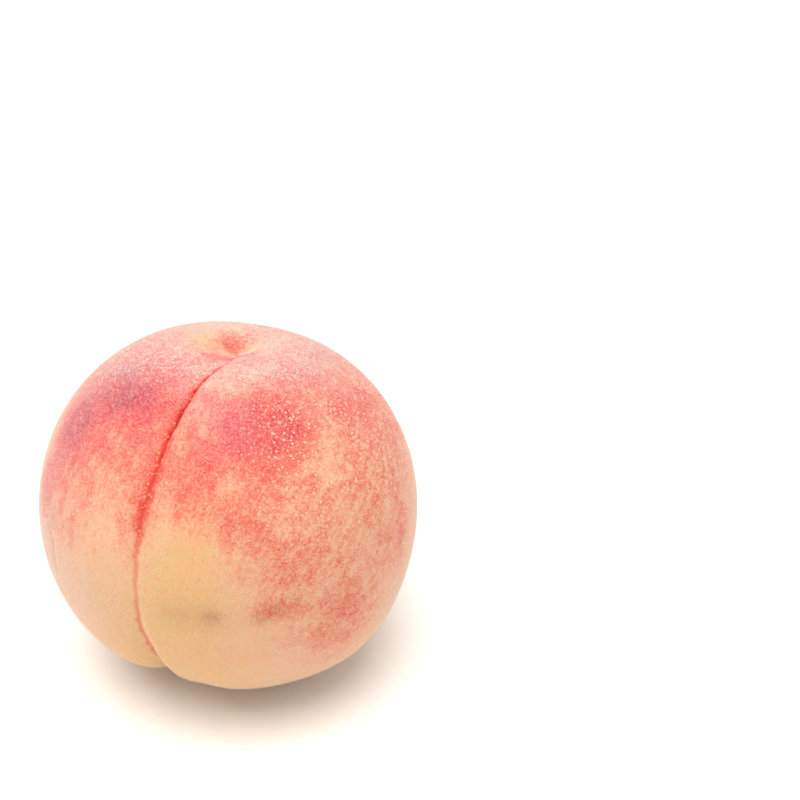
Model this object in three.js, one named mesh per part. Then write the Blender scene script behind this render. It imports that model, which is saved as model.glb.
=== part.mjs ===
// A ripe peach, grown as one solid and resting on a small flat spot.
// Millimetres, +Z up, front at -Y. The origin is under the middle of the fruit, on the ground.
import * as THREE from 'three';

// Size and stance
const MEAN_RADIUS = 39.2;
const STEM_LEAN = [0.09, 0.34]; // run of the stem axis to the right and the back, per unit of height
const SUTURE_TURN = 25.4; // degrees from the front towards the left
const REST_SINK = 1.0; // depth pressed flat under the fruit's weight

// Body, as shares of the mean radius
const POLE_FLATTENING = 0.042;
const CHEEK_WIDTH = 0.024;
const CHEEK_OFFSET = 0.011; // right cheek fuller than the left
const CHEEK_DROOP = 0.037; // right cheek fullest low down, left cheek high up
const BELLY_DROOP = 0.074; // suture side fullest low down

// Low swelling on the right cheek
const SWELLING = { towards: [-0.05, 0.8, -0.6], height: 1.3, spread: 0.34 };

// Suture: a broad valley with a fine crease in it, between one proud lip and one shrinking one
const SUTURE_BOW = { rest: 0.5, growth: 0.0009, middle: 72, from: 10, to: 150 }; // degrees
const SUTURE_HOOK = { turn: 17.8, at: 10, reach: 12 }; // degrees, towards the right at the stem end
const SUTURE_SWAY = { turn: 1.5, at: 66, reach: 15 }; // degrees, towards the right half way down
const VALLEY = { middle: 0.5, top: 1.6, low: 2.4, width: 7 };
const CREASE = { middle: 0.4, top: 0.9, width: 1, sharpness: 1.4 };
const LIP = { middle: 0.35, top: 0.35, low: 1.6, width: 5, turn: 1.2 };
const UPPER_SUTURE = { deepest: 41, reach: 18 }; // degrees from the stem end

// Stem basin, long along the suture, and the small dimple at the tip end
const BASIN = { depth: 3.2, width: 10, stretch: 1.2 };
const FUNNEL = { depth: 2.2, width: 3.4 };
const TIP_DIMPLE = { depth: 1.2, width: 5 };

// Facets
const MERIDIANS = 80;
const RINGS = 56;
const MERIDIAN_CROWDING = 0.85; // towards the suture
const RING_CROWDING = 0.5; // towards both ends

const radians = THREE.MathUtils.degToRad;
const rise = THREE.MathUtils.smoothstep;

/** Azimuth of the suture, in radians, at an angle from the stem end. */
function sutureAzimuth(polar) {
  const degrees = THREE.MathUtils.radToDeg(polar);
  const held = THREE.MathUtils.clamp(degrees, SUTURE_BOW.from, SUTURE_BOW.to);
  const bow = SUTURE_BOW.rest + SUTURE_BOW.growth * (held - SUTURE_BOW.middle) ** 2;
  const bends = [SUTURE_HOOK, SUTURE_SWAY].map(
    ({ turn, at, reach }) => turn * Math.exp(-(((held - at) / reach) ** 2)),
  );
  return radians(bow + bends[0] + bends[1]);
}

/** Radius of the body without suture or basin; x faces the suture, y the right cheek, z the stem. */
function bodyRadius({ x, y, z }) {
  const share = 1
    - POLE_FLATTENING * z ** 4
    + CHEEK_WIDTH * y ** 2
    + CHEEK_OFFSET * y
    - CHEEK_DROOP * y * z
    - BELLY_DROOP * x * z;
  const [sx, sy, sz] = SWELLING.towards;
  const away = (x - sx) ** 2 + (y - sy) ** 2 + (z - sz) ** 2;
  return MEAN_RADIUS * share + SWELLING.height * Math.exp(-away / SWELLING.spread ** 2);
}

/** Depth of the suture below the body; negative where a lip stands proud. */
function sutureDepth({ x, y, z }) {
  const polar = Math.acos(z);
  const azimuth = sutureAzimuth(polar);
  const across = MEAN_RADIUS * (y * Math.cos(azimuth) - x * Math.sin(azimuth));
  const facing = x * Math.cos(azimuth) + y * Math.sin(azimuth);
  const beyond = (THREE.MathUtils.radToDeg(polar) - UPPER_SUTURE.deepest) / UPPER_SUTURE.reach;
  const top = Math.exp(-(beyond ** 2));
  const low = rise(-z, 0.2, 0.9);
  const valley = VALLEY.middle + VALLEY.top * top + VALLEY.low * low;
  const crease = CREASE.middle + CREASE.top * top;
  const lip = LIP.middle + LIP.top * top + LIP.low * low;
  return rise(facing, -0.3, 0.3) * (
    valley * Math.exp(-((across / VALLEY.width) ** 2))
    + crease * Math.exp(-((Math.abs(across) / CREASE.width) ** CREASE.sharpness))
    - lip * Math.tanh(across / LIP.turn) * Math.exp(-((across / LIP.width) ** 2))
  );
}

/** Depth of the stem basin and of the tip dimple below the body. */
function endDepth({ x, y, z }) {
  const long = MEAN_RADIUS * x;
  const wide = MEAN_RADIUS * y;
  const fromStem = (long / BASIN.stretch) ** 2 + wide ** 2;
  const fromTip = long ** 2 + wide ** 2;
  const basin = BASIN.depth * Math.exp(-fromStem / BASIN.width ** 2)
    + FUNNEL.depth * Math.exp(-fromStem / FUNNEL.width ** 2);
  const dimple = TIP_DIMPLE.depth * Math.exp(-fromTip / TIP_DIMPLE.width ** 2);
  return rise(z, 0, 0.4) * basin + rise(-z, 0, 0.4) * dimple;
}

/** Unit direction on the sphere of facets, with meridians crowded along the suture. */
function gridDirection(ring, meridian) {
  const down = ring / RINGS;
  const polar = Math.PI * down - (RING_CROWDING / 2) * Math.sin(2 * Math.PI * down);
  const even = (2 * Math.PI * meridian) / MERIDIANS;
  const crowding = MERIDIAN_CROWDING * rise(Math.sin(polar), 0.1, 0.5);
  const azimuth = even - crowding * Math.sin(even) + sutureAzimuth(polar);
  return new THREE.Vector3(
    Math.sin(polar) * Math.cos(azimuth),
    Math.sin(polar) * Math.sin(azimuth),
    Math.cos(polar),
  );
}

/** Turn from the fruit's own axes to the ground's. */
function stance() {
  const stem = new THREE.Vector3(...STEM_LEAN, 1).normalize();
  const turn = radians(SUTURE_TURN);
  const suture = new THREE.Vector3(-Math.sin(turn), -Math.cos(turn), 0);
  suture.addScaledVector(stem, -suture.dot(stem)).normalize();
  const cheek = new THREE.Vector3().crossVectors(stem, suture);
  return new THREE.Matrix4().makeBasis(suture, cheek, stem);
}

function surfacePoint(direction) {
  const radius = bodyRadius(direction) - sutureDepth(direction) - endDepth(direction);
  return direction.multiplyScalar(radius);
}

/** Closed skin: one point at the stem end, rings of points down the fruit, one point at the tip. */
function fruitSkin() {
  const points = [surfacePoint(new THREE.Vector3(0, 0, 1))];
  for (let ring = 1; ring < RINGS; ring += 1) {
    for (let meridian = 0; meridian < MERIDIANS; meridian += 1) {
      points.push(surfacePoint(gridDirection(ring, meridian)));
    }
  }
  points.push(surfacePoint(new THREE.Vector3(0, 0, -1)));

  const at = (ring, meridian) => 1 + (ring - 1) * MERIDIANS + (meridian % MERIDIANS);
  const last = points.length - 1;
  const faces = [];
  for (let meridian = 0; meridian < MERIDIANS; meridian += 1) {
    faces.push(0, at(1, meridian), at(1, meridian + 1));
    for (let ring = 1; ring < RINGS - 1; ring += 1) {
      const [a, b] = [at(ring, meridian), at(ring, meridian + 1)];
      const [c, d] = [at(ring + 1, meridian), at(ring + 1, meridian + 1)];
      faces.push(a, c, d, a, d, b);
    }
    faces.push(last, at(RINGS - 1, meridian + 1), at(RINGS - 1, meridian));
  }

  const skin = new THREE.BufferGeometry().setFromPoints(points);
  skin.setIndex(faces);
  return skin;
}

/** Stands the skin on the ground, presses its flat spot and centres it over the origin. */
function settle(skin) {
  skin.applyMatrix4(stance());
  skin.computeBoundingBox();
  const ground = skin.boundingBox.min.z + REST_SINK;
  const position = skin.getAttribute('position');
  for (let i = 0; i < position.count; i += 1) {
    position.setZ(i, Math.max(position.getZ(i), ground));
  }
  const middle = skin.boundingBox.getCenter(new THREE.Vector3());
  skin.translate(-middle.x, -middle.y, -ground);
  skin.computeVertexNormals();
  return skin;
}

const flesh = new THREE.MeshStandardMaterial({ color: 0xf0a080, roughness: 0.85, metalness: 0 });
const peach = new THREE.Mesh(settle(fruitSkin()), flesh);
peach.name = 'peach';

const fruit = new THREE.Group();
fruit.name = 'peach_fruit';
fruit.add(peach);

export default fruit;
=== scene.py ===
"""A ripe peach with its downy skin, on a plain pale floor in soft light."""

import math

import bpy
import numpy as np
from bpy.props import FloatProperty, FloatVectorProperty, IntProperty, PointerProperty
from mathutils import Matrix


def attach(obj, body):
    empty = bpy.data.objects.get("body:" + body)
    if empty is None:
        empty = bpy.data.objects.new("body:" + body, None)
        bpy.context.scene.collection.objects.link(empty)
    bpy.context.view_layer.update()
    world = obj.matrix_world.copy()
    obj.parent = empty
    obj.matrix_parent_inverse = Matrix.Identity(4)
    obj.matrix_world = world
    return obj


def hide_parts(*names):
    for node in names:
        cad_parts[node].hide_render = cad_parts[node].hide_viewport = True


bl_info = {
    "name": "Peach",
    "version": (1, 0, 0),
    "blender": (4, 5, 0),
    "location": "View3D > Sidebar > Peach",
    "description": "Grows a ripe peach with a downy skin on a plain stage",
    "category": "Add Mesh",
}

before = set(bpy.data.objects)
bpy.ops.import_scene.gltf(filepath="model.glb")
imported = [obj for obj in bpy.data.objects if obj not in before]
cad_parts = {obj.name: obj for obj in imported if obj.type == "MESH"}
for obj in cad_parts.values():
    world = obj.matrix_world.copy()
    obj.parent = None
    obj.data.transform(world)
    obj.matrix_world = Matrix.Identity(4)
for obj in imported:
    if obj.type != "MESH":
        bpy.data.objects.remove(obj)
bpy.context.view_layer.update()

MM = 0.001

# ---------------------------------------------------------------- form, in millimetres and degrees
# The fruit's own axes: x faces the suture, y the right cheek and z the stem end. A polar angle is
# counted from the stem end, and an azimuth from the suture towards the right cheek.

MEAN_RADIUS = 39.2
STEM_LEAN = (0.09, 0.34)  # run of the stem axis to the right and the back, per unit of height
SUTURE_TURN = 25.4  # from the front towards the left
REST_SINK = 1.0  # depth pressed flat under the fruit's weight

# Body, as shares of the mean radius
POLE_FLATTENING = 0.042
CHEEK_WIDTH = 0.024
CHEEK_OFFSET = 0.011  # right cheek fuller than the left
CHEEK_DROOP = 0.037  # right cheek fullest low down, left cheek high up
BELLY_DROOP = 0.074  # suture side fullest low down
SWELLING = {"towards": (-0.05, 0.8, -0.6), "height": 1.3, "spread": 0.34}

# Suture: a broad valley with a fine crease in it, between one proud lip and one shrinking one
SUTURE_BOW = {"rest": 0.5, "growth": 0.0009, "middle": 72, "from": 10, "to": 150}
SUTURE_HOOK = {"turn": 17.8, "at": 10, "reach": 12}
SUTURE_SWAY = {"turn": 1.5, "at": 66, "reach": 15}
VALLEY = {"middle": 0.5, "top": 1.6, "low": 2.4, "width": 7}
CREASE = {"middle": 0.4, "top": 0.9, "width": 1.0, "sharpness": 1.4}
LIP = {"middle": 0.35, "top": 0.35, "low": 1.6, "width": 5, "turn": 1.2}
UPPER_SUTURE = {"deepest": 41, "reach": 18}
LOWER_SUTURE = (0.2, 0.9)  # deepens between these shares of the radius below the middle
SUTURE_FADE = 0.3  # share of the radius over which it fades in and out at the fruit's sides

# Stem basin, long along the suture, and the small dimple at the tip end
BASIN = {"depth": 3.2, "width": 10, "stretch": 1.2}
FUNNEL = {"depth": 2.2, "width": 3.4}
TIP_DIMPLE = {"depth": 1.2, "width": 5}
END_FADE = 0.4  # share of the radius over which both fade in from the fruit's middle

# Ragged split at the bottom of the upper suture, too fine for the solid
SPLIT = {"depth": 0.4, "width": 0.5, "middle": 45, "reach": 18, "spacing": 1.8}
SPLIT_SWAY = {"amount": 0.4, "seed": 4}
SPLIT_OPENING = {"amount": 0.7, "seed": 3}
KNOTS = 512  # of a random wave, before it repeats

# Soft fold pressed into the low left flank, too shallow for the solid, with a low ridge to its
# right. Its upper end bends to the left; painted shade makes the groove a little redder and a painted
# highlight makes the ridge pale.
FOLD = {
    "depth": 0.5,
    "width": 0.8,
    "ridge_height": 0.3,
    "ridge_width": 0.48,
    "ridge_away": 1.2,
    "azimuth": -36.8,
    "bend": 0.14,
    "bend_above": 98,
    "polar": (88, 94, 103, 111),
    # painted shade: extra blush in the fold's groove
    "blush": 0.3,
    # painted highlight: pale tone on the fold's ridge
    "painted_ridge_highlight": 0.8,
}

# Grid of the skin, crowded towards the suture and towards both ends
MERIDIANS = 440
RINGS = 216
MERIDIAN_CROWDING = 0.85
CROWDING_ONSET = (0.1, 0.5)  # sines of the polar angle, since the ends need no crowded meridians
RING_CROWDING = 0.5
SIZING_GRID = (112, 160)  # rings and meridians that are enough to find the form's extent

# Down: how much its hairs differ, and where it grows
HAIR_LEANS = (0.5, 2.2)  # run along the skin, per unit of rise from it
HAIR_LENGTHS = (0.5, 1.5)  # shares of the usual length
HAIR_HALF_WIDTHS = (0.35, 0.65)  # shares of the usual width
HAIR_SUNK = 0.02  # depth of a root in the skin
HAIR_CLEARANCE = 0.02  # height above the ground that every hair keeps
BARE_FOOT = 0.15  # height below which there is no down
BARE_SUTURE = 0.7  # distance from the split within which there is no down

# Camera and stage, in millimetres and degrees
EYE = (36.3, -439.2, 370.0)
EYE_PITCH = 35.0
LENS = 117.0
SENSOR = 36.0
FLOOR_SIDES = 96
SOFTBOX = {"size": 1300, "place": (-120, -60, 950), "tilt": (4, -7, 0), "colour": "#fffcf9"}


def rise(low, high, value):
    """Smooth step from 0 at low to 1 at high."""
    t = np.clip((value - low) / (high - low), 0, 1)
    return t * t * (3 - 2 * t)


def span(value, start, full, wane, end):
    """Smooth rise from 0 at start to 1 at full, and back from wane to 0 at end."""
    return rise(start, full, value) * rise(end, wane, value)


def bell(value, middle, reach):
    return np.exp(-(((value - middle) / reach) ** 2))


def red_green_blue(hex_colour):
    return [int(hex_colour[i : i + 2], 16) / 255 for i in (1, 3, 5)]


def linear(hex_colour):
    """A colour's sRGB hex value as linear red, green, blue and 1."""
    channels = red_green_blue(hex_colour)
    return tuple(c / 12.92 if c <= 0.04045 else ((c + 0.055) / 1.055) ** 2.4 for c in channels) + (1.0,)


def suture_azimuth(polar_deg):
    held = np.clip(polar_deg, SUTURE_BOW["from"], SUTURE_BOW["to"])
    bow = SUTURE_BOW["rest"] + SUTURE_BOW["growth"] * (held - SUTURE_BOW["middle"]) ** 2
    for bend in (SUTURE_HOOK, SUTURE_SWAY):
        bow = bow + bend["turn"] * bell(held, bend["at"], bend["reach"])
    return np.radians(bow)


def stance():
    """Rows are the directions of the suture, the right cheek and the stem end, in the part's frame."""
    stem = np.array([*STEM_LEAN, 1.0])
    stem /= np.linalg.norm(stem)
    turn = math.radians(SUTURE_TURN)
    suture = np.array([-math.sin(turn), -math.cos(turn), 0.0])
    suture -= stem * (suture @ stem)
    suture /= np.linalg.norm(suture)
    return np.stack([suture, np.cross(stem, suture), stem])


def wander(value, spacing, seed):
    """Smooth random wave along a line, about -1 to 1, with knots every so many units."""
    knots = np.random.default_rng(seed).uniform(-1, 1, KNOTS)
    t = value / spacing
    cell = np.floor(t).astype(int)
    ease = rise(0, 1, t - cell)
    return knots[cell % KNOTS] * (1 - ease) + knots[(cell + 1) % KNOTS] * ease


class Form:
    """The fruit's surface, worked out for unit directions in the fruit's own axes."""

    def __init__(self, directions):
        self.x, self.y, self.z = directions.T
        self.polar = np.degrees(np.arccos(np.clip(self.z, -1, 1)))
        azimuth = suture_azimuth(self.polar)
        self.across = MEAN_RADIUS * (self.y * np.cos(azimuth) - self.x * np.sin(azimuth))
        self.facing = self.x * np.cos(azimuth) + self.y * np.sin(azimuth)
        self.azimuth = np.degrees(np.arctan2(self.y, self.x) - azimuth)
        self.azimuth = (self.azimuth + 180) % 360 - 180
        self.near_suture = rise(-SUTURE_FADE, SUTURE_FADE, self.facing)
        sway = wander(self.polar, SPLIT["spacing"], SPLIT_SWAY["seed"])
        self.from_split = self.across - SPLIT_SWAY["amount"] * sway

    def body(self):
        x, y, z = self.x, self.y, self.z
        share = 1 - POLE_FLATTENING * z**4 + CHEEK_WIDTH * y**2 + CHEEK_OFFSET * y
        share = share - CHEEK_DROOP * y * z - BELLY_DROOP * x * z
        sx, sy, sz = SWELLING["towards"]
        away = (x - sx) ** 2 + (y - sy) ** 2 + (z - sz) ** 2
        return MEAN_RADIUS * share + SWELLING["height"] * np.exp(-away / SWELLING["spread"] ** 2)

    def suture_depth(self):
        top = bell(self.polar, UPPER_SUTURE["deepest"], UPPER_SUTURE["reach"])
        low = rise(*LOWER_SUTURE, -self.z)
        valley = VALLEY["middle"] + VALLEY["top"] * top + VALLEY["low"] * low
        crease = CREASE["middle"] + CREASE["top"] * top
        lip = LIP["middle"] + LIP["top"] * top + LIP["low"] * low
        return self.near_suture * (
            valley * bell(self.across, 0, VALLEY["width"])
            + crease * np.exp(-((np.abs(self.across) / CREASE["width"]) ** CREASE["sharpness"]))
            - lip * np.tanh(self.across / LIP["turn"]) * bell(self.across, 0, LIP["width"])
        )

    def split_open(self):
        """How far the fine split in the suture is open, which comes and goes along its length."""
        uneven = wander(self.polar, SPLIT["spacing"], SPLIT_OPENING["seed"])
        along = bell(self.polar, SPLIT["middle"], SPLIT["reach"])
        return self.near_suture * along * (1 + SPLIT_OPENING["amount"] * uneven)

    def split_share(self):
        """1 in the middle of the split where it is usually open, 0 well away from it."""
        return self.split_open() * bell(self.from_split, 0, SPLIT["width"])

    def fold(self):
        """Shares of the groove of the fold on the left flank, and of the low ridge to its right."""
        bend = FOLD["bend"] * np.maximum(FOLD["bend_above"] - self.polar, 0) ** 2
        turn = np.radians(self.azimuth - (FOLD["azimuth"] - bend))
        beside = MEAN_RADIUS * np.sin(np.radians(self.polar)) * turn
        along = span(self.polar, *FOLD["polar"])
        groove = bell(beside, 0, FOLD["width"])
        ridge = bell(beside, FOLD["ridge_away"], FOLD["ridge_width"])
        return along * groove, along * ridge

    def fold_depth(self):
        groove, ridge = self.fold()
        return FOLD["depth"] * groove - FOLD["ridge_height"] * ridge

    def end_depth(self):
        long, wide = MEAN_RADIUS * self.x, MEAN_RADIUS * self.y
        from_stem = np.hypot(long / BASIN["stretch"], wide)
        from_tip = np.hypot(long, wide)
        basin = BASIN["depth"] * bell(from_stem, 0, BASIN["width"])
        basin = basin + FUNNEL["depth"] * bell(from_stem, 0, FUNNEL["width"])
        dimple = TIP_DIMPLE["depth"] * bell(from_tip, 0, TIP_DIMPLE["width"])
        return rise(0, END_FADE, self.z) * basin + rise(0, END_FADE, -self.z) * dimple

    def radius(self):
        return self.body() - self.suture_depth() - self.end_depth() - self.fold_depth()


def grid_directions(rings, meridians):
    """Unit directions: the stem end, rings of directions down the fruit, then the tip end."""
    down = np.arange(1, rings) / rings
    polar = np.pi * down - RING_CROWDING / 2 * np.sin(2 * np.pi * down)
    even = 2 * np.pi * np.arange(meridians) / meridians
    crowding = MERIDIAN_CROWDING * rise(*CROWDING_ONSET, np.sin(polar))
    azimuth = even[None] - crowding[:, None] * np.sin(even)[None]
    azimuth = azimuth + suture_azimuth(np.degrees(polar))[:, None]
    sine = np.sin(polar)[:, None]
    height = np.cos(polar)[:, None] + 0 * azimuth
    ring = np.stack([sine * np.cos(azimuth), sine * np.sin(azimuth), height], -1)
    return np.concatenate([[[0, 0, 1.0]], ring.reshape(-1, 3), [[0, 0, -1.0]]])


def fruit_centre():
    """Where the fruit's own centre lies above the ground, from the lowest point and the sides of its form."""
    directions = grid_directions(*SIZING_GRID)
    points = directions * Form(directions).radius()[:, None] @ stance()
    low, high = points.min(0), points.max(0)
    middle = (low + high) / 2
    return np.array([-middle[0], -middle[1], -(low[2] + REST_SINK)])


CENTRE = fruit_centre()


def settle(directions, radius):
    """Points in the part's frame, in millimetres, standing on the ground."""
    return directions * radius[:, None] @ stance() + CENTRE


def unit(vectors):
    return vectors / np.linalg.norm(vectors, axis=1, keepdims=True)


def surface_frame(directions):
    """Points on the settled skin and the skin's outward normals there."""
    step = 1e-3
    helper = np.where(np.abs(directions[:, 2:]) < 0.9, [[0, 0, 1.0]], [[1.0, 0, 0]])
    first = unit(np.cross(directions, helper))
    second = np.cross(directions, first)
    around = []
    for shift in (first, second):
        moved = unit(directions + step * shift)
        around.append(settle(moved, Form(moved).radius()))
    points = settle(directions, Form(directions).radius())
    normals = unit(np.cross(around[0] - points, around[1] - points))
    outward = np.sign(np.einsum("ij,ij->i", normals, points - CENTRE))[:, None]
    return points, normals * outward


# ---------------------------------------------------------------- colouring of the skin
# Each patch: polar angle and azimuth of its middle in degrees, reach down and across in mm, amount.
# A negative amount thins what other patches lay there.

BLUSH = {
    # crown and basin
    "basin": (4.5, -150, 3, 5.5, 0.8),
    "basin mouth": (13, -22, 3, 3.5, 0.25),
    "basin wall": (9, 170, 3, 6, 0.35),
    "left of the basin": (9, -70, 2.5, 3, 0.25),
    # painted shade: darker blush for the shadow line of the suture's mouth at the basin's front rim
    "front rim shade": (9, 20, 2.2, 4, 0.8),
    "crown front": (15, 22, 5, 8, 0.45),
    "crown middle": (31, 58, 4, 7, 0.3),
    "crown right": (24, 75, 8, 14, 0.35),
    "crown left": (27, -45, 8, 20, 0.6),
    # left side, from the suture outwards
    "left collar": (37, -12, 5, 7, 0.12),
    "left of suture": (56, -10, 9, 7, 0.65),
    "left streak": (76, -2, 11, 4, 0.5),
    "left rose": (45, -25, 4.6, 6, 1.3),
    "left middle": (64, -25, 4, 5, 0.2),
    "left fading": (75, -20, 8, 10, 0.39),
    "left low fading": (89, -28, 5.5, 8, 0.25),
    "left belly wash": (98, -18, 9, 8, 0.1),
    "left shoulder": (43.5, -35, 8, 12, 1.0),
    "left cheek": (61, -43, 9, 8.5, 1.15),
    "left cheek rim": (63, -45, 4.5, 4.5, 0.55),
    "far left low": (82, -43, 7, 7, 0.4),
    "left low rim": (84, -50, 8, 5, 0.3),
    "low left flank": (100, -44, 12, 8, 0.14),
    "left rim": (52, -73, 14, 9, 0.38),
    # right side, from the suture outwards
    "suture lip": (38, 6, 7, 3.2, 0.1),
    "beside the split": (48, 9, 5, 3.2, 0.22),
    "front collar": (64, 15, 4, 3, 0.2),
    "right of suture": (64, 12, 9, 7, 0.55),
    "right collar": (37, 24, 4.5, 10, 0.26),
    "right rose": (48, 27, 7, 6, 0.85),
    "inner rose": (48, 21, 3, 3, -0.2),
    "inner collar": (39, 41, 3, 4, 0.2),
    "inner right": (55, 39, 3, 4, 0.15),
    "inner coral": (60, 17, 5, 5, 0.16),
    "right fading": (73, 34, 8, 6.5, 0.4),
    "right red": (46, 46, 6.5, 6.2, 1.15),
    "right red edge": (49, 51, 3.2, 3.2, 0.8),
    "right coral": (60, 42, 7, 7, 0.55),
    "window edge": (70, 53, 4, 4, 0.2),
    "low window edge": (79, 54, 4, 5, 0.2),
    "right middle": (64, 74, 7, 9, 0.3),
    "right shoulder": (44, 78, 8, 11, 0.52),
    "far right": (60, 99, 13, 9, 0.32),
    "right rim": (88, 90, 9, 4, 0.35),
    # middle and low belly
    "upper middle": (56, 32, 4, 7, 0.2),
    "middle fading": (70, 14, 8, 7, 0.15),
    "middle low": (78, 29, 4, 5, 0.3),
    "upper belly": (86, 20, 8, 12, 0.1),
    "low right of suture": (124, 30, 8, 12, 0.12),
    "low belly right": (107, 46, 8, 8, 0.15),
    # right cheek, low down
    "right cheek": (82, 70, 14, 17, 0.34),
    "right cheek low edge": (90, 81, 4, 4, 0.12),
    "right streak": (90, 40, 7, 7, 0.28),
    "right low streak": (88, 46, 5, 5, 0.13),
    "over the bruise": (90, 52, 4, 5, 0.15),
    "under the bruise": (103, 43, 2.2, 5, 0.5),
    "right low": (103, 67, 8, 8, 0.3),
    "right foot": (115, 66, 9, 10, 0.36),
    # back
    "crown back": (22, 170, 8, 24, 0.3),
    "back shoulder": (48, 140, 16, 20, 0.7),
    "back": (66, 185, 18, 20, 0.6),
    "back left": (54, -108, 15, 20, 0.65),
    "back low right": (95, 140, 13, 14, 0.35),
    "back low left": (92, -86, 13, 12, 0.35),
}
ROSE = {
    "left shoulder": (44, -35, 12, 16, 1.0),
    "far left": (74, -46, 14, 11, 0.9),
    "right rose": (48, 26, 8, 6, 0.9),
    "right shoulder": (38, 84, 12, 16, 0.55),
    "far right": (68, 100, 14, 9, 0.3),
    "right low": (112, 68, 11, 11, 0.1),
    "crown": (22, -20, 8, 30, 1.0),
    "crown back": (22, 160, 8, 40, 0.8),
    "back left": (52, -108, 17, 21, 0.8),
    "back": (46, 172, 16, 22, 0.6),
    "suture lip": (36, 8, 8, 5, 0.5),
}
YELLOW = {
    "belly": (96, 16, 14, 12, 1.0),
    "low belly": (120, 9, 11, 11, 0.7),
    "left belly": (106, -12, 12, 7, 0.38),
    "left of the basin": (10, -88, 3.2, 5, 1.0),
    "foot": (136, 4, 9, 14, 0.7),
    "right of suture": (77, 19, 8, 5, 0.4),
    "right cheek": (68, 58, 7, 8, 0.35),
    "back belly": (116, 170, 18, 27, 0.8),
    "below the basin": (12, -45, 2.6, 3.5, 0.9),
    "underside": (170, 0, 26, 60, 1.0),
}
# Pale bloom of the down: partly the down's own whitish film, and partly painted sheen in the crown and rim
# patches, where the down catches light at grazing angles
BLOOM_AND_PAINTED_SHEEN = {
    "crown left": (26, -58, 8, 20, 0.9),
    "left shoulder": (40, -57, 8, 8, 0.65),
    "crown front": (18, 28, 4, 6, 0.7),
    "crown right": (22, 75, 8, 18, 1.0),
    "stem side": (18, 150, 8, 20, 0.8),
    "left edge": (102, -44, 14, 10, 0.85),
    "right edge": (108, 92, 10, 5, 0.35),
    "back": (34, 180, 12, 24, 0.6),
    "cheek": (62, -44, 9, 7, 0.12),
    "by the basin": (11, -55, 3.5, 7, -1.5),
    "left rim": (54, -74, 19, 9, 0.55),
    "left belly": (107, -17, 7, 6, 0.4),
}
MAUVE = {
    "left shoulder": (38, -42, 3, 6, 0.5),
    "left cheek": (58, -43, 4.5, 5, 0.06),
    "right rose": (46, 28, 4, 4, 0.12),
    "back left": (44, -118, 7, 9, 0.5),
    "left rim": (46, -58, 8, 6, 0.15),
    # painted shade: dusky tone for the shadow line of the suture's mouth at the basin's front rim
    "front rim shade": (8, 20, 2.2, 4, 0.85),
    "left low rim": (98, -42, 18, 10, 0.13),
}
BRUISES = {
    "small": (106.3, 24, 1.6, 2.0, 0.66),
    "small's shade": (107, 19, 3.5, 6.5, 0.22),
    "wide": (106, 38, 1.6, 2.2, 0.45),
    "wide's end": (100, 48, 1.3, 2.2, 0.25),
    "wide's middle": (103, 43, 1.5, 2.6, 0.45),
    "small's tail": (106.5, 12, 2.6, 3, 0.12),
}

# Red band along the suture: polar angle in degrees, half width in mm, strength
SUTURE_BAND = (
    (14, 0.4, 0.0),
    (19, 0.8, 0.85),
    (36, 1.5, 0.9),
    (43, 2.0, 0.9),
    (60, 1.9, 0.9),
    (70, 1.8, 0.9),
    (82, 1.7, 0.85),
    (90, 1.0, 0.6),
    (102, 0.8, 0.35),
    (110, 0.8, 0.5),
    (118, 0.8, 0.7),
    (140, 0.9, 0.65),
    (156, 1.0, 0.0),
)

BLUSH_GAIN = 1.25  # how quickly overlapping patches near full blush

# Low down, the red band strays to the left of the crease, by this much over each of these stretches
BAND_STRAY = {"step": 1.2, "stretches": ((100, 118), (118, 140))}
BAND_FADE = 0.2  # share of the radius over which the band fades out at the fruit's sides
FAR_FROM_SUTURE = 40.0  # stands for the distance from the suture on the side that faces away from it

# Streaks down the fruit: their size in mm, how far they lean from the meridians on the right cheek,
# and the azimuths at which they lean and polar angles at which they show: none, full, full, none
STREAKS = {
    "width": 1.3,
    "length": 5.5,
    "lean": 0.8,
    "upright_at": 70,
    "leaning": (0, 50, 130, 175),
    "showing": (45, 62, 88, 115),
}

# Azimuths and polar angles, in degrees, of the flecks and pores on the right cheek and of the mottled
# crown: none at the outer or first angle, full at the inner or second one
FLECKED_AZIMUTHS = (22, 50, 140, 175)
FLECKED_BELOW = (28, 42)
MOTTLED_ABOVE = (75, 50)
PORE_FADE = {"amount": 0.75, "polar": (66, 92)}  # pores are fainter low down


def patches(form, table):
    """Sum of soft oval patches on the skin."""
    total = np.zeros_like(form.polar)
    for polar, azimuth, down, across, amount in table.values():
        turn = (form.azimuth - azimuth + 180) % 360 - 180
        # near the ends of the fruit a patch would otherwise wrap all the way round
        width = MEAN_RADIUS * np.sin(np.radians(np.clip((form.polar + polar) / 2, 8, 172)))
        far_down = np.radians(form.polar - polar) * MEAN_RADIUS / down
        far_across = np.radians(turn) * width / across
        total += amount * np.exp(-(far_down**2 + far_across**2))
    return total


def streak_places(form):
    """Places in mm at which noise as wide as a streak comes out as long as a streak."""
    lean = STREAKS["lean"] * span(form.azimuth, *STREAKS["leaning"])
    turned = np.arctan2(form.y, form.x) + lean * np.radians(form.polar - STREAKS["upright_at"])
    down = np.radians(form.polar) * STREAKS["width"] / STREAKS["length"]
    return np.stack([np.cos(turned), np.sin(turned), down], -1) * MEAN_RADIUS


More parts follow.
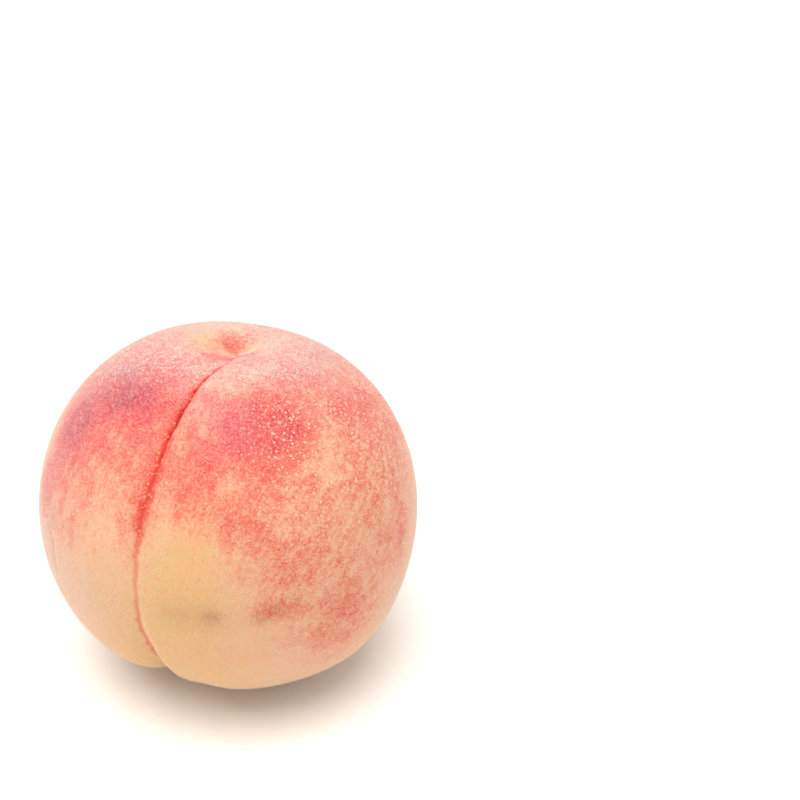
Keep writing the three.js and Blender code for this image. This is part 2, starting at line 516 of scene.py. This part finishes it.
def skin_attributes(form, directions):
    """What the skin's material reads at each point: its pigments, its marks and its place in mm."""
    groove, ridge = form.fold()
    flecked = span(form.azimuth, *FLECKED_AZIMUTHS) * rise(*FLECKED_BELOW, form.polar)
    stray = sum(BAND_STRAY["step"] * rise(*stretch, form.polar) for stretch in BAND_STRAY["stretches"])
    band_polar, band_width, band_strength = np.array(SUTURE_BAND).T
    return {
        "place": directions * MEAN_RADIUS,
        "along": streak_places(form),
        # the fold's groove gets painted shade as extra blush
        "blush": 1 - np.exp(-BLUSH_GAIN * (patches(form, BLUSH) + FOLD["blush"] * groove)),
        "rose": np.clip(patches(form, ROSE), 0, 1),
        "yellow": np.clip(patches(form, YELLOW), 0, 1),
        # bloom of the down, partly painted sheen at the crown and rims
        "bloom_and_painted_sheen": np.clip(patches(form, BLOOM_AND_PAINTED_SHEEN), 0, 1),
        "mauve": np.clip(patches(form, MAUVE), 0, 1),
        "bruise": np.clip(patches(form, BRUISES), 0, 1),
        "pored": flecked * (1 - PORE_FADE["amount"] * rise(*PORE_FADE["polar"], form.polar)),
        # painted highlight on the fold's ridge
        "painted_ridge_highlight": FOLD["painted_ridge_highlight"] * ridge,
        "mottled": np.maximum(flecked, rise(*MOTTLED_ABOVE, form.polar)),
        "streaked": span(form.polar, *STREAKS["showing"]),
        "split": form.split_share(),
        "suture_mm": np.where(form.facing > 0, form.from_split + stray, FAR_FROM_SUTURE),
        "suture_width": np.interp(form.polar, band_polar, band_width),
        "suture_red": np.interp(form.polar, band_polar, band_strength) * rise(0, BAND_FADE, form.facing),
    }


# ---------------------------------------------------------------- materials

# Noise in the skin: what it runs along, its width in mm, its detail and roughness, and how far it
# shifts the redness either way
NOISES = {
    "clouds": {"runs": "place", "width": 3.6, "detail": 2.0, "roughness": 0.5, "shift": 0.09},
    "streaks": {"runs": "along", "width": STREAKS["width"], "detail": 3.0, "roughness": 0.6, "shift": 0.18},
    "flecks": {"runs": "place", "width": 1.4, "detail": 4.0, "roughness": 0.7, "shift": 0.23},
}
NOISE_RANGE = (0.3, 0.7)  # holds nearly all of a noise's values

# Where some noises show more, and how strongly they show elsewhere and there
NOISE_GAINS = {"streaks": ("streaked", 0.3, 0.5), "flecks": ("mottled", 0.32, 0.54)}

THIN_BLUSH = {"below": 0.35, "hold": 0.5}  # thinner blush holds the noises back, to this share
COVERING = (0.04, 0.54)  # redness at which the blush begins to hide the ground, and hides it all
BAND_RAGGEDNESS = 2.0
SPLIT_RAGGEDNESS = 1.5
# thin even veil of the bloom, which is partly painted sheen
BLOOM_AND_PAINTED_SHEEN_VEIL = 0.25
RELIEF = 0.06  # height in mm of the skin's fine relief

# The down's own grain is 0.02 mm and is drawn at 0.3 mm, so that it shows
GRAIN_WIDTH = 0.3
GRAIN_SHIFT = 0.11

# Dots in the skin: spacing in mm, share left out, least and greatest size and inner and outer edge
# as shares of the spacing, and strength
PORES = {"spacing": 0.8, "left_out": 0.0, "sizes": (0.12, 0.4), "edge": (-0.02, 0.09), "strength": 1.0}
SPECKS = {"spacing": 0.5, "left_out": 0.45, "sizes": (0.0, 0.5), "edge": (-0.04, 0.12), "strength": 0.5}

# Steps of the blush: how red, and the colour there
CORAL_BLUSH = ((0.2, "peach"), (0.5, "coral"), (0.8, "red"), (1.0, "deep_red"))
ROSE_BLUSH = ((0.2, "pink"), (0.5, "rose"), (0.8, "crimson"), (1.0, "deep_crimson"))


def add_node(tree, kind, inputs=None, **settings):
    """Adds a node with its settings and links.

    Each input, by its identifier, takes a value, a socket or a node's first output that is in use.
    """
    node = tree.nodes.new(kind)
    for name, value in settings.items():
        setattr(node, name, value)
    sockets = {socket.identifier: socket for socket in node.inputs}
    for name, value in (inputs or {}).items():
        if isinstance(value, bpy.types.Node):
            value = next(socket for socket in value.outputs if socket.enabled)
        if isinstance(value, bpy.types.NodeSocket):
            tree.links.new(value, sockets[name])
        else:
            sockets[name].default_value = value
    return node


def new_material(name):
    material = bpy.data.materials.new(name)
    material.use_nodes = True
    material.node_tree.nodes.clear()
    return material


def noise_patterns(tree, field):
    """Each kind of noise in the skin, and the shift that it gives the redness."""
    noises, shifts = {}, {}
    low, high = NOISE_RANGE
    for name, look in NOISES.items():
        noises[name] = add_node(
            tree,
            "ShaderNodeTexNoise",
            {
                "Vector": field[look["runs"]],
                "Scale": 1 / look["width"],
                "Detail": look["detail"],
                "Roughness": look["roughness"],
            },
        )
        shifts[name] = add_node(
            tree,
            "ShaderNodeMapRange",
            {
                "Value": noises[name],
                "From Min": low,
                "From Max": high,
                "To Min": -look["shift"],
                "To Max": look["shift"],
            },
        )
    return noises, shifts


def scattered_dots(tree, field, dots):
    """Soft round dots, no two the same size, as a strength from 0 to that of the dots."""
    cells = add_node(tree, "ShaderNodeTexVoronoi", {"Vector": field["place"], "Scale": 1 / dots["spacing"]})
    pick = add_node(tree, "ShaderNodeSeparateColor", {"Color": cells.outputs["Color"]})
    least, greatest = dots["sizes"]
    size = add_node(
        tree,
        "ShaderNodeMapRange",
        {"Value": pick, "From Min": dots["left_out"], "To Min": least, "To Max": greatest},
    )
    inside = add_node(
        tree, "ShaderNodeMath", {"Value": size, "Value_001": cells.outputs["Distance"]}, operation="SUBTRACT"
    )
    outer, inner = dots["edge"]
    return add_node(
        tree,
        "ShaderNodeMapRange",
        {"Value": inside, "From Min": outer, "From Max": inner, "To Max": dots["strength"]},
        interpolation_type="SMOOTHSTEP",
    )


def skin_redness(tree, field, shifts, grain_pick):
    """How red the skin is: its blush, broken up by the grain and the noises, which thin blush holds back."""
    grained = add_node(
        tree,
        "ShaderNodeMapRange",
        {"Value": grain_pick.outputs["Red"], "To Min": -GRAIN_SHIFT, "To Max": GRAIN_SHIFT},
    )
    pattern = add_node(
        tree, "ShaderNodeMath", {"Value": grained, "Value_001": shifts["clouds"]}, operation="ADD"
    )
    for name, (where, elsewhere, there) in NOISE_GAINS.items():
        gain = add_node(
            tree, "ShaderNodeMapRange", {"Value": field[where], "To Min": elsewhere, "To Max": there}
        )
        pattern = add_node(
            tree,
            "ShaderNodeMath",
            {"Value": shifts[name], "Value_001": gain, "Value_002": pattern},
            operation="MULTIPLY_ADD",
        )
    hold = add_node(
        tree,
        "ShaderNodeMapRange",
        {"Value": field["blush"], "From Max": THIN_BLUSH["below"], "To Min": THIN_BLUSH["hold"]},
    )
    return add_node(
        tree,
        "ShaderNodeMath",
        {"Value": pattern, "Value_001": hold, "Value_002": field["blush"]},
        operation="MULTIPLY_ADD",
        use_clamp=True,
    )


def blushed_ground(tree, field, red, cover, colours):
    """From cream or yellow ground through coral or rose to the deepest blush."""
    cream, yellow = linear(colours["cream"]), linear(colours["yellow"])
    ground = add_node(
        tree,
        "ShaderNodeMix",
        {"Factor_Float": field["yellow"], "A_Color": cream, "B_Color": yellow},
        data_type="RGBA",
    )
    blushes = []
    for stops in (CORAL_BLUSH, ROSE_BLUSH):
        ramp = add_node(tree, "ShaderNodeValToRGB", {"Fac": red})
        blushes.append(ramp)
        steps = ramp.color_ramp.elements
        for step, (position, name) in zip(steps, (stops[0], stops[-1])):
            step.position = position
            step.color = linear(colours[name])
        for position, name in stops[1:-1]:
            steps.new(position).color = linear(colours[name])
    blush = add_node(
        tree,
        "ShaderNodeMix",
        {"Factor_Float": field["rose"], "A_Color": blushes[0], "B_Color": blushes[1]},
        data_type="RGBA",
    )
    return add_node(
        tree, "ShaderNodeMix", {"Factor_Float": cover, "A_Color": ground, "B_Color": blush}, data_type="RGBA"
    )


def pore_strength(tree, field, dots, cover):
    """Cream pores, clearest where the skin is flecked and red, and the painted highlight that pales the
    fold's ridge.
    """
    gain = add_node(tree, "ShaderNodeMapRange", {"Value": field["pored"], "To Min": 0.12, "To Max": 0.85})
    pores = add_node(tree, "ShaderNodeMath", {"Value": dots, "Value_001": gain}, operation="MULTIPLY")
    return add_node(
        tree,
        "ShaderNodeMath",
        {"Value": pores, "Value_001": cover, "Value_002": field["painted_ridge_highlight"]},
        operation="MULTIPLY_ADD",
        use_clamp=True,
    )


def broken_marks(tree, field, flecks):
    """Mauve shoulders and brown bruises, with broken edges."""
    broken = add_node(
        tree,
        "ShaderNodeMapRange",
        {"Value": flecks, "From Min": 0.35, "From Max": 0.65, "To Min": 0.55, "To Max": 1.0},
    )
    return [
        add_node(tree, "ShaderNodeMath", {"Value": field[mark], "Value_001": broken}, operation="MULTIPLY")
        for mark in ("mauve", "bruise")
    ]


def bloom_and_painted_sheen_strength(tree, field, grain_pick):
    """Pale bloom of the down, with painted sheen at the rims and crown, in fine grains over a thin even veil.
    """
    grains = add_node(
        tree,
        "ShaderNodeMapRange",
        {"Value": grain_pick.outputs["Green"], "From Min": 0.6, "From Max": 0.95},
        interpolation_type="SMOOTHSTEP",
    )
    gain = add_node(tree, "ShaderNodeMapRange", {"Value": field["bloom_and_painted_sheen"], "To Min": 0.28, "To Max": 1.0})
    grains = add_node(tree, "ShaderNodeMath", {"Value": grains, "Value_001": gain}, operation="MULTIPLY")
    return add_node(
        tree,
        "ShaderNodeMath",
        {"Value": field["bloom_and_painted_sheen"], "Value_001": BLOOM_AND_PAINTED_SHEEN_VEIL, "Value_002": grains},
        operation="MULTIPLY_ADD",
        use_clamp=True,
    )


def suture_marks(tree, field, fleck_shift, dots):
    """Red band along the suture, torn bits of pale skin in it and the dark split in its middle, darkened
    partly as painted shade in the crack.
    """
    away = add_node(tree, "ShaderNodeMath", {"Value": field["suture_mm"]}, operation="ABSOLUTE")
    away = add_node(
        tree, "ShaderNodeMath", {"Value": away, "Value_001": field["suture_width"]}, operation="DIVIDE"
    )
    away = add_node(
        tree,
        "ShaderNodeMath",
        {"Value": fleck_shift, "Value_001": BAND_RAGGEDNESS, "Value_002": away},
        operation="MULTIPLY_ADD",
    )
    band = add_node(
        tree,
        "ShaderNodeMapRange",
        {"Value": away, "From Min": 0.15, "From Max": 1.3, "To Min": 1.0, "To Max": 0.0},
        interpolation_type="SMOOTHSTEP",
    )
    band = add_node(
        tree, "ShaderNodeMath", {"Value": band, "Value_001": field["suture_red"]}, operation="MULTIPLY"
    )
    torn = add_node(tree, "ShaderNodeMath", {"Value": dots, "Value_001": band}, operation="MULTIPLY")
    ragged = add_node(
        tree,
        "ShaderNodeMath",
        {"Value": fleck_shift, "Value_001": SPLIT_RAGGEDNESS, "Value_002": field["split"]},
        operation="MULTIPLY_ADD",
    )
    split = add_node(
        tree,
        "ShaderNodeMapRange",
        {"Value": ragged, "From Min": 0.15, "From Max": 0.65, "To Max": 0.85},
        interpolation_type="SMOOTHSTEP",
    )
    split = add_node(tree, "ShaderNodeMath", {"Value": split, "Value_001": band}, operation="MULTIPLY")
    return band, torn, split


def peach_skin_material(attributes, colours):
    """Ripe peach skin under its down: cream to yellow, with a red blush, cream pores and red flecks.

    It gives the eye a soft, chalky surface with no shine, and light glows a little way into it.
    """
    material = new_material("downy_peach_skin")
    tree = material.node_tree
    field = {}
    for name, values in attributes.items():
        attribute = add_node(tree, "ShaderNodeAttribute", attribute_name=name)
        field[name] = attribute.outputs["Vector" if values.ndim == 2 else "Fac"]

    noises, shifts = noise_patterns(tree, field)
    grain = add_node(tree, "ShaderNodeTexVoronoi", {"Vector": field["place"], "Scale": 1 / GRAIN_WIDTH})
    grain_pick = add_node(tree, "ShaderNodeSeparateColor", {"Color": grain.outputs["Color"]})
    red = skin_redness(tree, field, shifts, grain_pick)
    shown, hidden = COVERING
    cover = add_node(tree, "ShaderNodeMapRange", {"Value": red, "From Min": shown, "From Max": hidden})
    skin = blushed_ground(tree, field, red, cover, colours)

    dots = scattered_dots(tree, field, PORES)
    mauve, bruise = broken_marks(tree, field, noises["flecks"])
    band, torn, split = suture_marks(tree, field, shifts["flecks"], dots)
    layers = (
        (pore_strength(tree, field, dots, cover), "pore"),
        (scattered_dots(tree, field, SPECKS), "speck"),
        (mauve, "mauve"),
        (bruise, "bruise"),
        # pale bloom, partly painted sheen at the crown and rims
        (bloom_and_painted_sheen_strength(tree, field, grain_pick), "bloom_and_painted_sheen"),
        (band, "suture"),
        (torn, "yellow"),
        # split: the crack's own red, darkened partly as painted shade at its bottom
        (split, "split"),
    )
    for strength, colour in layers:
        skin = add_node(
            tree,
            "ShaderNodeMix",
            {"Factor_Float": strength, "A_Color": skin, "B_Color": linear(colours[colour])},
            data_type="RGBA",
        )

    height = add_node(
        tree,
        "ShaderNodeMath",
        {"Value": grain.outputs["Distance"], "Value_001": -0.5, "Value_002": noises["flecks"]},
        operation="MULTIPLY_ADD",
    )
    bump = add_node(tree, "ShaderNodeBump", {"Height": height, "Distance": RELIEF * MM, "Strength": 0.4})
    roughness = add_node(
        tree, "ShaderNodeMapRange", {"Value": grain_pick.outputs["Blue"], "To Min": 0.62, "To Max": 0.8}
    )
    shader = add_node(
        tree,
        "ShaderNodeBsdfPrincipled",
        {
            "Base Color": skin,
            "Roughness": roughness,
            "Normal": bump,
            "IOR": 1.4,
            "Specular IOR Level": 0.25,
            "Subsurface Weight": 0.2,
            "Subsurface Radius": (1.0, 0.35, 0.2),
            "Subsurface Scale": 2.5 * MM,
            "Sheen Weight": 0.25,
            "Sheen Roughness": 0.5,
            "Sheen Tint": linear(colours["down"]),
        },
    )
    add_node(tree, "ShaderNodeOutputMaterial", {"Surface": shader})
    return material


def down_material(colours):
    """Fine plant hair: near-white, matt and half see-through, so that it lies on the skin like dust."""
    material = new_material("peach_down_hair")
    tree = material.node_tree
    tint = linear(colours["down"])
    front = add_node(
        tree,
        "ShaderNodeBsdfPrincipled",
        {"Base Color": tint, "Roughness": 0.7, "IOR": 1.45, "Specular IOR Level": 0.2},
    )
    through = add_node(tree, "ShaderNodeBsdfTranslucent", {"Color": tint})
    hair = add_node(tree, "ShaderNodeMixShader", {"Fac": 0.5, "Shader": front, "Shader_001": through})
    add_node(tree, "ShaderNodeOutputMaterial", {"Surface": hair})
    return material


def floor_material():
    """Matt white paper sweep: even and without shine, so that only the soft shadow shows on it."""
    material = new_material("matt_white_paper")
    tree = material.node_tree
    fibre = add_node(tree, "ShaderNodeTexNoise", {"Scale": 900.0, "Detail": 2.0})
    tone = add_node(
        tree,
        "ShaderNodeMix",
        {"Factor_Float": fibre, "A_Color": linear("#f3f2ee"), "B_Color": linear("#f8f7f3")},
        data_type="RGBA",
    )
    shader = add_node(
        tree, "ShaderNodeBsdfPrincipled", {"Base Color": tone, "Roughness": 0.95, "Specular IOR Level": 0.1}
    )
    add_node(tree, "ShaderNodeOutputMaterial", {"Surface": shader})
    return material


# ---------------------------------------------------------------- what a user can change

SKIN_COLOURS = {
    "cream": ("Cream", "Skin where there is no blush", "#caa186"),
    "yellow": ("Yellow", "Skin on the belly and by the basin", "#c69e68"),
    "peach": ("Peach", "Thinnest coral blush", "#d0906d"),
    "coral": ("Coral", "Middling coral blush", "#c6684d"),
    "red": ("Red", "Strong coral blush", "#c0413b"),
    "deep_red": ("Deep red", "Deepest coral blush", "#b22f35"),
    "pink": ("Pink", "Thinnest rose blush", "#c98c7d"),
    "rose": ("Rose", "Middling rose blush", "#c25c57"),
    "crimson": ("Crimson", "Strong rose blush", "#b23c48"),
    "deep_crimson": ("Deep crimson", "Deepest rose blush", "#96303f"),
    "pore": ("Pores", "Pale dots in the blush", "#e6bb96"),
    "speck": ("Specks", "Small orange-red specks", "#d8542c"),
    # bloom colour: the down's pale bloom, also used as painted sheen at the crown and rims
    "bloom_and_painted_sheen": ("Bloom", "Pale bloom of the down", "#b0a59b"),
    "mauve": ("Mauve", "Dusky patches on the shoulders", "#995b62"),
    "bruise": ("Bruise", "Rubbed brownish spots", "#965a3c"),
    "suture": ("Suture", "Red band along the suture", "#ba2a1c"),
    # split colour: the crack's own red, darkened partly as painted shade at its bottom
    "split": ("Split", "Bottom of the split in the suture", "#a81c16"),
    "down": ("Down", "Fine hair", "#f6e2d8"),
}


def colour_property(name, description, hex_colour):
    return FloatVectorProperty(
        name=name,
        description=description,
        subtype="COLOR_GAMMA",
        size=3,
        min=0.0,
        max=1.0,
        default=red_green_blue(hex_colour),
    )


def hex_values(settings, names):
    """The named colours of a group of settings, as sRGB hex values."""
    values = {}
    for name in names:
        channels = [round(channel * 255) for channel in getattr(settings, name)]
        values[name] = "#" + "".join(f"{channel:02x}" for channel in channels)
    return values


class PeachSkinSettings(bpy.types.PropertyGroup):
    __annotations__ = {key: colour_property(*words) for key, words in SKIN_COLOURS.items()}


class PeachDownSettings(bpy.types.PropertyGroup):
    hairs: IntProperty(
        name="Hairs", description="Hairs on each quarter of the fruit", default=100000, min=1000, max=190000
    )
    length: FloatProperty(
        name="Length",
        description="Usual length of a hair",
        default=0.32 * MM,
        min=0.1 * MM,
        max=2 * MM,
        unit="LENGTH",
    )
    width: FloatProperty(
        name="Width",
        description="Usual width of a hair at its root",
        default=0.022 * MM,
        min=0.01 * MM,
        max=0.2 * MM,
        unit="LENGTH",
    )
    seed: IntProperty(name="Seed", description="Changes where the hairs grow", default=11, min=0)


class PeachStageSettings(bpy.types.PropertyGroup):
    floor_radius: FloatProperty(
        name="Floor radius", description="Radius of the floor", default=2.5, min=0.5, unit="LENGTH"
    )
    sky: FloatProperty(
        name="Sky", description="Strength of the even light from all round", default=0.73, min=0.0
    )
    softbox: FloatProperty(
        name="Softbox", description="Power of the light overhead, in watts", default=16.0, min=0.0
    )


# ---------------------------------------------------------------- pieces


def link_piece(mesh, material):
    mesh.materials.append(material)
    mesh.shade_smooth()
    piece = bpy.data.objects.new(mesh.name, mesh)
    bpy.context.scene.collection.objects.link(piece)
    return piece


def store(mesh, name, values):
    """Keeps a number or a vector for each point of the mesh."""
    is_vector = values.ndim == 2
    attribute = mesh.attributes.new(name, "FLOAT_VECTOR" if is_vector else "FLOAT", "POINT")
    field = "vector" if is_vector else "value"
    attribute.data.foreach_set(field, np.ascontiguousarray(values, dtype=np.float32).ravel())


def skin_faces():
    """Faces over the grid's points: a fan at each end of the fruit, and four-sided ones between."""
    turn = range(MERIDIANS)
    after = [(a + 1) % MERIDIANS for a in turn]
    first_ring, last_ring = 1, 1 + (RINGS - 2) * MERIDIANS
    last = last_ring + MERIDIANS
    faces = [[0, first_ring + a, first_ring + b] for a, b in zip(turn, after)]
    for start in range(first_ring, last_ring, MERIDIANS):
        below = start + MERIDIANS
        faces += [[start + a, below + a, below + b, start + b] for a, b in zip(turn, after)]
    return faces + [[last, last_ring + b, last_ring + a] for a, b in zip(turn, after)]


class PEACH_OT_grow_skin(bpy.types.Operator):
    """Grow the peach's skin over its solid"""

    bl_idname = "peach.grow_skin"
    bl_label = "Grow skin"

    def execute(self, context):
        directions = grid_directions(RINGS, MERIDIANS)
        form = Form(directions)
        points = settle(directions, form.radius() - SPLIT["depth"] * form.split_share())
        points[:, 2] = np.maximum(points[:, 2], 0.0)
        mesh = bpy.data.meshes.new("peach_skin")
        mesh.from_pydata((points * MM).tolist(), [], skin_faces())

        attributes = skin_attributes(form, directions)
        colours = hex_values(context.scene.peach_skin, SKIN_COLOURS)
        piece = link_piece(mesh, peach_skin_material(attributes, colours))
        for name, values in attributes.items():
            store(mesh, name, values)

        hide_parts("peach")
        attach(piece, "root")
        return {"FINISHED"}


def hair_piece(name, corners, normals, material):
    """A piece of three-cornered hairs that are shaded as the skin under them is."""
    count = len(normals)
    mesh = bpy.data.meshes.new(name)
    mesh.vertices.add(3 * count)
    mesh.vertices.foreach_set("co", (corners * MM).astype(np.float32).ravel())
    mesh.loops.add(3 * count)
    mesh.loops.foreach_set("vertex_index", np.arange(3 * count, dtype=np.int32))
    mesh.polygons.add(count)
    mesh.polygons.foreach_set("loop_start", np.arange(0, 3 * count, 3, dtype=np.int32))
    mesh.update(calc_edges=True)
    piece = link_piece(mesh, material)
    mesh.normals_split_custom_set_from_vertices(np.repeat(normals, 3, axis=0).tolist())
    # hair as fine as this lets the light by
    piece.visible_shadow = False
    piece.visible_diffuse = False
    return piece


class PEACH_OT_grow_down(bpy.types.Operator):
    """Grow the fine hair that covers the skin"""

    bl_idname = "peach.grow_down"
    bl_label = "Grow down"

    def execute(self, context):
        settings = context.scene.peach_down
        material = down_material(hex_values(context.scene.peach_skin, SKIN_COLOURS))
        random = np.random.default_rng(settings.seed)
        for quarter in range(4):
            corners, normals = self.grow_quarter(quarter, settings, random)
            piece = hair_piece(f"peach_down_{quarter + 1}", corners, normals, material)
            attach(piece, "root")
        return {"FINISHED"}

    def grow_quarter(self, quarter, settings, random):
        """Corners of hairs at random places on a quarter of the fruit, and the skin's normals there."""
        count = settings.hairs
        z = random.uniform(-1, 1, count)
        azimuth = (quarter + random.uniform(0, 1, count)) * 0.5 * np.pi
        level = np.sqrt(1 - z * z)
        directions = np.stack([level * np.cos(azimuth), level * np.sin(azimuth), z], -1)
        form = Form(directions)
        roots, normals = surface_frame(directions)
        by_split = (np.abs(form.from_split) < BARE_SUTURE) & (form.facing > 0)
        downy = ~((roots[:, 2] < BARE_FOOT) | by_split)
        roots, normals = roots[downy], normals[downy]
        count = len(roots)

        side = unit(np.cross(normals, random.normal(size=(count, 3))))
        way = unit(normals + random.uniform(*HAIR_LEANS, count)[:, None] * side)
        flat = unit(np.cross(way, normals))
        length = settings.length / MM * random.uniform(*HAIR_LENGTHS, count)[:, None]
        half_width = settings.width / MM * random.uniform(*HAIR_HALF_WIDTHS, count)[:, None]

        sunk = roots - HAIR_SUNK * normals
        corners = np.stack([sunk - flat * half_width, sunk + flat * half_width, roots + way * length], 1)
        corners = corners.reshape(-1, 3)
        corners[:, 2] = np.maximum(corners[:, 2], HAIR_CLEARANCE)
        return corners, normals


def lay_floor(settings):
    turn = 2 * np.pi * np.arange(FLOOR_SIDES) / FLOOR_SIDES
    rim = np.stack([np.cos(turn), np.sin(turn), 0 * turn], -1) * settings.floor_radius
    mesh = bpy.data.meshes.new("floor")
    mesh.from_pydata(rim.tolist(), [], [list(range(FLOOR_SIDES))])
    link_piece(mesh, floor_material())


def light_stage(scene, settings):
    """Even white light from all round, and a round softbox overhead that lays the soft shadow."""
    world = bpy.data.worlds.new("even_white_light")
    world.use_nodes = True
    background = world.node_tree.nodes["Background"]
    background.inputs["Color"].default_value = (1.0, 1.0, 1.0, 1.0)
    background.inputs["Strength"].default_value = settings.sky
    scene.world = world

    light = bpy.data.lights.new("softbox", "AREA")
    light.shape = "DISK"
    light.size = SOFTBOX["size"] * MM
    light.energy = settings.softbox
    light.color = linear(SOFTBOX["colour"])[:3]
    softbox = bpy.data.objects.new("softbox", light)
    softbox.location = [c * MM for c in SOFTBOX["place"]]
    softbox.rotation_euler = [math.radians(tilt) for tilt in SOFTBOX["tilt"]]
    scene.collection.objects.link(softbox)


def place_camera(scene):
    lens = bpy.data.cameras.new("camera")
    lens.lens = LENS
    lens.sensor_width = SENSOR
    lens.clip_start = 0.01
    camera = bpy.data.objects.new("camera", lens)
    camera.location = [c * MM for c in EYE]
    camera.rotation_euler = (math.radians(90 - EYE_PITCH), 0, 0)
    scene.collection.objects.link(camera)
    scene.camera = camera


class PEACH_OT_set_stage(bpy.types.Operator):
    """Lay the floor, set the lights and place the camera"""

    bl_idname = "peach.set_stage"
    bl_label = "Set stage"

    def execute(self, context):
        scene = context.scene
        lay_floor(scene.peach_stage)
        light_stage(scene, scene.peach_stage)
        place_camera(scene)
        scene.view_settings.view_transform = "Standard"
        return {"FINISHED"}


class PEACH_PT_panel(bpy.types.Panel):
    bl_label = "Peach"
    bl_idname = "PEACH_PT_panel"
    bl_space_type = "VIEW_3D"
    bl_region_type = "UI"
    bl_category = "Peach"

    def draw(self, context):
        for operator, settings in STEPS:
            box = self.layout.box()
            group = getattr(context.scene, settings)
            for name in group.__annotations__:
                box.prop(group, name)
            box.operator(operator.bl_idname)


STEPS = (
    (PEACH_OT_set_stage, "peach_stage"),
    (PEACH_OT_grow_skin, "peach_skin"),
    (PEACH_OT_grow_down, "peach_down"),
)
CLASSES = (
    PeachSkinSettings,
    PeachDownSettings,
    PeachStageSettings,
    PEACH_OT_set_stage,
    PEACH_OT_grow_skin,
    PEACH_OT_grow_down,
    PEACH_PT_panel,
)


def register():
    for each in CLASSES:
        bpy.utils.register_class(each)
    bpy.types.Scene.peach_skin = PointerProperty(type=PeachSkinSettings)
    bpy.types.Scene.peach_down = PointerProperty(type=PeachDownSettings)
    bpy.types.Scene.peach_stage = PointerProperty(type=PeachStageSettings)


def unregister():
    for _, name in STEPS:
        delattr(bpy.types.Scene, name)
    for each in reversed(CLASSES):
        bpy.utils.unregister_class(each)


def main():
    register()
    bpy.ops.peach.set_stage()
    bpy.ops.peach.grow_skin()
    bpy.ops.peach.grow_down()


if __name__ == "__main__":
    main()
